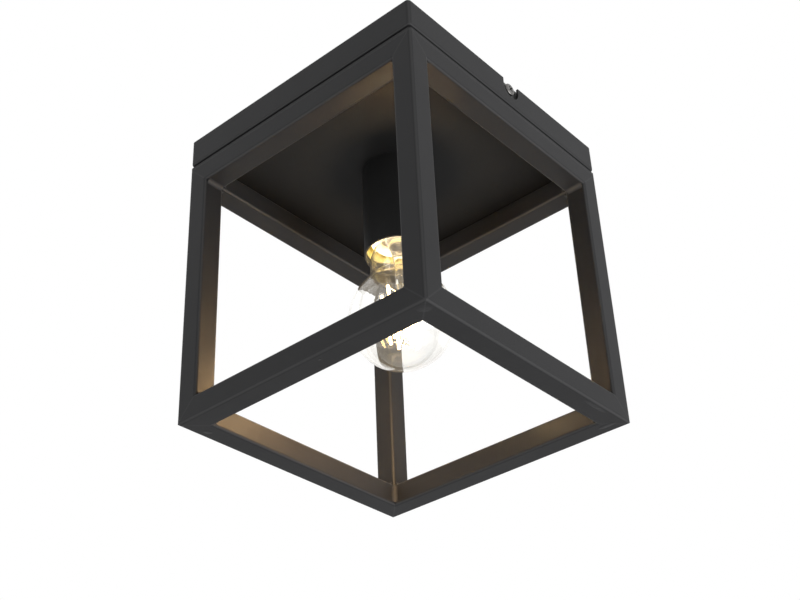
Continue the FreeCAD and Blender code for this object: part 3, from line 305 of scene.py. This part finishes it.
def rubber(name, colour):
    """Foam rubber with open pores."""
    g = Graph(name)
    pores = g.add("ShaderNodeTexVoronoi", feature="F1")
    g.link(g.place, pores.inputs["Vector"])
    pores.inputs["Scale"].default_value = 1.0 / (0.7 * MM)
    depth = g.ramp(pores.outputs["Distance"], 0.0, 0.5)
    # Darker in the pores: painted shade in them.
    base = g.mix(depth, scaled(colour, 0.5), scaled(colour, 1.4))
    g.set(base_color=base, roughness=0.85, normal=g.bump(depth, 0.12 * MM, 0.7))
    return g.material


def striped_wire(name, first, second, stripes):
    """Wire insulation in two colours, as stripes along it."""
    g = Graph(name)
    wave = g.add("ShaderNodeTexWave", bands_direction="DIAGONAL")
    g.link(g.place, wave.inputs["Vector"])
    wave.inputs["Scale"].default_value = stripes
    fine = g.noise(0.8 * MM, detail=2.0)
    base = g.mix(g.ramp(wave.outputs["Fac"], 0.45, 0.55), first, second)
    g.set(base_color=base, roughness=g.ramp(fine, 0.3, 0.7, 0.38, 0.5), normal=g.bump(fine, 0.02 * MM, 0.4))
    return g.material


# Colour of the glow painted into the lamp's glass, which gives no light of its own.
PAINTED_GLOW_COLOUR = (1.0, 0.82, 0.58)


def clear_glass(name, tint, painted_glow):
    """Clear glass that lets the lamp's light through, with faint waves and a faint warm glow painted into
    it as emission.
    """
    g = Graph(name)
    waves = g.noise(22 * MM, detail=1.0)
    g.set(base_color=tint, transmission_weight=1.0, ior=1.47, roughness=g.ramp(waves, 0.3, 0.7, 0.0, 0.012),
          normal=g.bump(waves, 0.35 * MM, 0.35), emission_color=PAINTED_GLOW_COLOUR,
          emission_strength=g.ramp(waves, 0.3, 0.7, painted_glow * 0.6, painted_glow * 1.4))
    see_through = g.add("ShaderNodeBsdfTransparent")
    see_through.inputs["Color"].default_value = grey(0.97) + (1.0,)
    ray = g.add("ShaderNodeLightPath")
    passes = g.math("MAXIMUM", ray.outputs["Is Shadow Ray"], ray.outputs["Is Diffuse Ray"])
    both = g.add("ShaderNodeMixShader")
    g.link(passes, both.inputs["Fac"])
    g.link(g.shader.outputs["BSDF"], both.inputs[1])
    g.link(see_through.outputs["BSDF"], both.inputs[2])
    g.link(both.outputs["Shader"], g.output.inputs["Surface"])
    return g.material


def glowing_stick(name, colour, strength):
    """Phosphor stick that glows warm, grainy in colour and in strength."""
    g = Graph(name)
    grain = g.noise(0.9 * MM, detail=2.0)
    base = g.mix(grain, (0.95, 0.72, 0.25), (1.0, 0.82, 0.4))
    g.set(base_color=base, roughness=0.5, emission_color=colour,
          emission_strength=g.ramp(grain, 0.3, 0.7, strength * 0.85, strength * 1.1))
    return g.material


def make_materials():
    """Material for each of the record's slots."""
    return {
        "frame_coat": powder_coat("frame_coat", COAT, welds_and_glints=True, square=True),
        "canopy_coat": powder_coat("canopy_coat", COAT, square=True),
        "plate_coat": powder_coat("plate_coat", SHADED_PLATE_COAT),
        "sleeve_coat": powder_coat("sleeve_coat", SHADED_SLEEVE_COAT),
        "zinc": plated_steel("zinc", (0.11, 0.11, 0.11), rough=0.35),
        "bracket_zinc": plated_steel("bracket_zinc", (0.30, 0.30, 0.31), rough=0.35, grain=(0.1, 1, 1)),
        "screw_nickel": plated_steel("screw_nickel", (0.16, 0.155, 0.15), rough=0.22),
        "rivet": plated_steel("rivet", (0.7, 0.71, 0.72), rough=0.3),
        "seal_rubber": rubber("seal_rubber", (0.012, 0.012, 0.012)),
        "nipple_steel": plated_steel("nipple_steel", (0.6, 0.6, 0.6)),
        "liner_brass": brass("liner_brass", (0.93, 0.84, 0.40), rough=0.33),
        "porcelain": moulded("porcelain", (0.82, 0.79, 0.72), rough=0.2, speckle=0.06),
        "holder_cap": moulded("holder_cap", (0.02, 0.02, 0.02)),
        "shell_brass": brass("shell_brass", (0.85, 0.62, 0.28)),
        "contact_brass": brass("contact_brass", (0.8, 0.58, 0.25)),
        "spring_steel": plated_steel("spring_steel", (0.5, 0.5, 0.5)),
        "glass_clear": clear_glass("glass_clear", (0.98, 0.985, 0.98), 0.03),
        "cap_metal": plated_steel("cap_metal", (0.75, 0.72, 0.64), rough=0.2),
        "black_glass": moulded("black_glass", (0.01, 0.01, 0.012), rough=0.12),
        "solder": plated_steel("solder", (0.6, 0.6, 0.58), rough=0.35),
        "glass_stem": clear_glass("glass_stem", (0.96, 0.97, 0.96), 0.05),
        "filament": glowing_stick("filament", (1.0, 0.70, 0.33), 70.0),
        "support_wire": plated_steel("support_wire", (0.6, 0.58, 0.55)),
        "block_plastic": moulded("block_plastic", (0.8, 0.8, 0.76)),
        "wire_brown": striped_wire("wire_brown", (0.10, 0.04, 0.02), (0.12, 0.05, 0.025), 300.0),
        "wire_blue": striped_wire("wire_blue", (0.02, 0.07, 0.30), (0.025, 0.08, 0.33), 300.0),
        "wire_earth": striped_wire("wire_earth", (0.62, 0.58, 0.03), (0.03, 0.24, 0.05), 120.0),
        "tag_brass": brass("tag_brass", (0.75, 0.7, 0.55)),
    }


def dress_nodes():
    """Gives each CAD node the material of its slot."""
    made = make_materials()
    for entry in frame["record"]["subparts"]:
        mesh = NODES[entry["node"]].data
        mesh.materials.clear()
        mesh.materials.append(made[entry["material_slot"]])


def pressed_spring():
    """Stands for the contact's spring: a copy of it with a mesh of its own, on the lantern's body."""
    node = NODES["contact_spring"]
    spring = bpy.data.objects.new("pressed_spring", node.data.copy())
    bpy.context.scene.collection.objects.link(spring)
    spring.matrix_world = node.matrix_world.copy()
    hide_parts("contact_spring")
    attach(spring, "lantern")
    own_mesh(spring)


# ---------------------------------------------------------------- light, backdrop and camera

# Strength of the world as light on matt surfaces. The camera, reflections and glass see it at 1.
WORLD_LIGHT = 0.08
FLOOR_LEVEL = -2.2
FLOOR_HALF = 4.0
FLOOR_LIGHT_LEVEL = -1.2
SOFT_BOX = 1.4
CENTRE = (0, 0, -0.12)
LAMP_COLOUR = (1.0, 0.62, 0.29)
CUP_LIGHT = (1.0, 0.82, 0.55)
LAMP_SOFTNESS = 0.012


def world():
    """White to the camera and in reflections, faint light on matt surfaces."""
    made = bpy.data.worlds.new("studio")
    bpy.context.scene.world = made
    made.use_nodes = True
    tree = made.node_tree
    tree.nodes.clear()
    output = tree.nodes.new("ShaderNodeOutputWorld")
    background = tree.nodes.new("ShaderNodeBackground")
    background.inputs["Color"].default_value = grey(1.0) + (1.0,)
    path = tree.nodes.new("ShaderNodeLightPath")
    seen = tree.nodes.new("ShaderNodeMath")
    seen.operation = "MAXIMUM"
    tree.links.new(path.outputs["Is Camera Ray"], seen.inputs[0])
    tree.links.new(path.outputs["Is Transmission Ray"], seen.inputs[1])
    also = tree.nodes.new("ShaderNodeMath")
    also.operation = "MAXIMUM"
    tree.links.new(seen.outputs["Value"], also.inputs[0])
    tree.links.new(path.outputs["Is Glossy Ray"], also.inputs[1])
    level = tree.nodes.new("ShaderNodeMapRange")
    level.inputs["To Min"].default_value = WORLD_LIGHT
    level.inputs["To Max"].default_value = 1.0
    tree.links.new(also.outputs["Value"], level.inputs["Value"])
    tree.links.new(level.outputs["Result"], background.inputs["Strength"])
    tree.links.new(background.outputs["Background"], output.inputs["Surface"])


def area_light(name, place, target, side, power):
    """Square soft box at a place, turned towards a target."""
    lamp = bpy.data.lights.new(name, "AREA")
    lamp.shape = "SQUARE"
    lamp.size = side
    lamp.energy = power
    holder = bpy.data.objects.new(name, lamp)
    holder.visible_camera = False
    bpy.context.scene.collection.objects.link(holder)
    holder.location = place
    holder.rotation_euler = (Vector(target) - Vector(place)).to_track_quat("-Z", "Y").to_euler()


def floor():
    """Plain pale floor of the porch, well below the lantern."""
    mesh = bpy.data.meshes.new("floor")
    grid = bmesh.new()
    bmesh.ops.create_grid(grid, x_segments=8, y_segments=8, size=FLOOR_HALF)
    grid.to_mesh(mesh)
    grid.free()
    made = bpy.data.objects.new("floor", mesh)
    made.location = (0, 0, FLOOR_LEVEL)
    bpy.context.scene.collection.objects.link(made)
    g = Graph("floor")
    g.set(base_color=g.mix(g.noise(0.5), grey(0.78), grey(0.82)), roughness=0.9)
    mesh.materials.append(g.material)


# The photograph's camera, found from the cube's straight edges.
CAMERA_AZIMUTH = math.radians(39.2185)
CAMERA_ELEVATION = math.radians(-32.0296)
CAMERA_ROLL = math.radians(-2.9659)
CAMERA_PLACE = Vector((0.466243, -0.562092, -0.609035))
CAMERA_LENS = 59.82
CAMERA_SENSOR = 36.0
CAMERA_SHIFT = (-0.0144, 0.03483)


def camera():
    """Camera at the photograph's angle."""
    back = Vector((math.sin(CAMERA_AZIMUTH) * math.cos(CAMERA_ELEVATION),
                   -math.cos(CAMERA_AZIMUTH) * math.cos(CAMERA_ELEVATION),
                   math.sin(CAMERA_ELEVATION)))
    right = Vector((0, 0, 1)).cross(back).normalized()
    up = back.cross(right)
    turned = right * math.cos(CAMERA_ROLL) + up * math.sin(CAMERA_ROLL)
    up = back.cross(turned)
    lens = bpy.data.cameras.new("camera")
    lens.lens = CAMERA_LENS
    lens.sensor_width = CAMERA_SENSOR
    lens.shift_x, lens.shift_y = CAMERA_SHIFT
    lens.clip_start = 0.01
    made = bpy.data.objects.new("camera", lens)
    bpy.context.scene.collection.objects.link(made)
    made.matrix_world = Matrix.Translation(CAMERA_PLACE) @ Matrix((turned, up, back)).transposed().to_4x4()
    bpy.context.scene.camera = made


def lamp_light(name, power, kind="POINT"):
    """Warm light in the middle of the lamp's sticks."""
    glow = bpy.data.lights.new(name, kind)
    glow.energy = power
    glow.color = LAMP_COLOUR
    glow.shadow_soft_size = LAMP_SOFTNESS
    holder = bpy.data.objects.new(name, glow)
    holder.location = (STICKS_LOW + STICKS_HIGH) / 2
    bpy.context.scene.collection.objects.link(holder)
    return holder


def lamp_spot(name, power, angle, direction, colour):
    """Share of the lamp's light that leaves it in one direction."""
    spot = lamp_light(name, power, "SPOT")
    spot.data.color = colour
    spot.data.spot_size = math.radians(angle)
    spot.data.spot_blend = 1.0
    spot.rotation_euler = Vector(direction).to_track_quat("-Z", "Y").to_euler()


def lights():
    """Soft studio light, and the lamp's own light."""
    area_light("key", (1.6, 0.3, -0.8), CENTRE, SOFT_BOX, 26.0)
    area_light("fill", (-0.6, -1.8, -0.6), CENTRE, SOFT_BOX, 12.0)
    area_light("on_floor", (0, 0, FLOOR_LIGHT_LEVEL), (0, 0, FLOOR_LEVEL), 2 * FLOOR_HALF, 125.0)
    lamp_light("lamp_glow", 0.22)
    lamp_spot("lamp_side", 1.6, 170, (-0.6, -0.1, -0.45), LAMP_COLOUR)
    lamp_spot("lamp_up", 0.9, 72, (0, 0, 1), CUP_LIGHT)


dress_nodes()
pressed_spring()
world()
floor()
lights()
camera()
bpy.context.scene.view_settings.view_transform = "Standard"
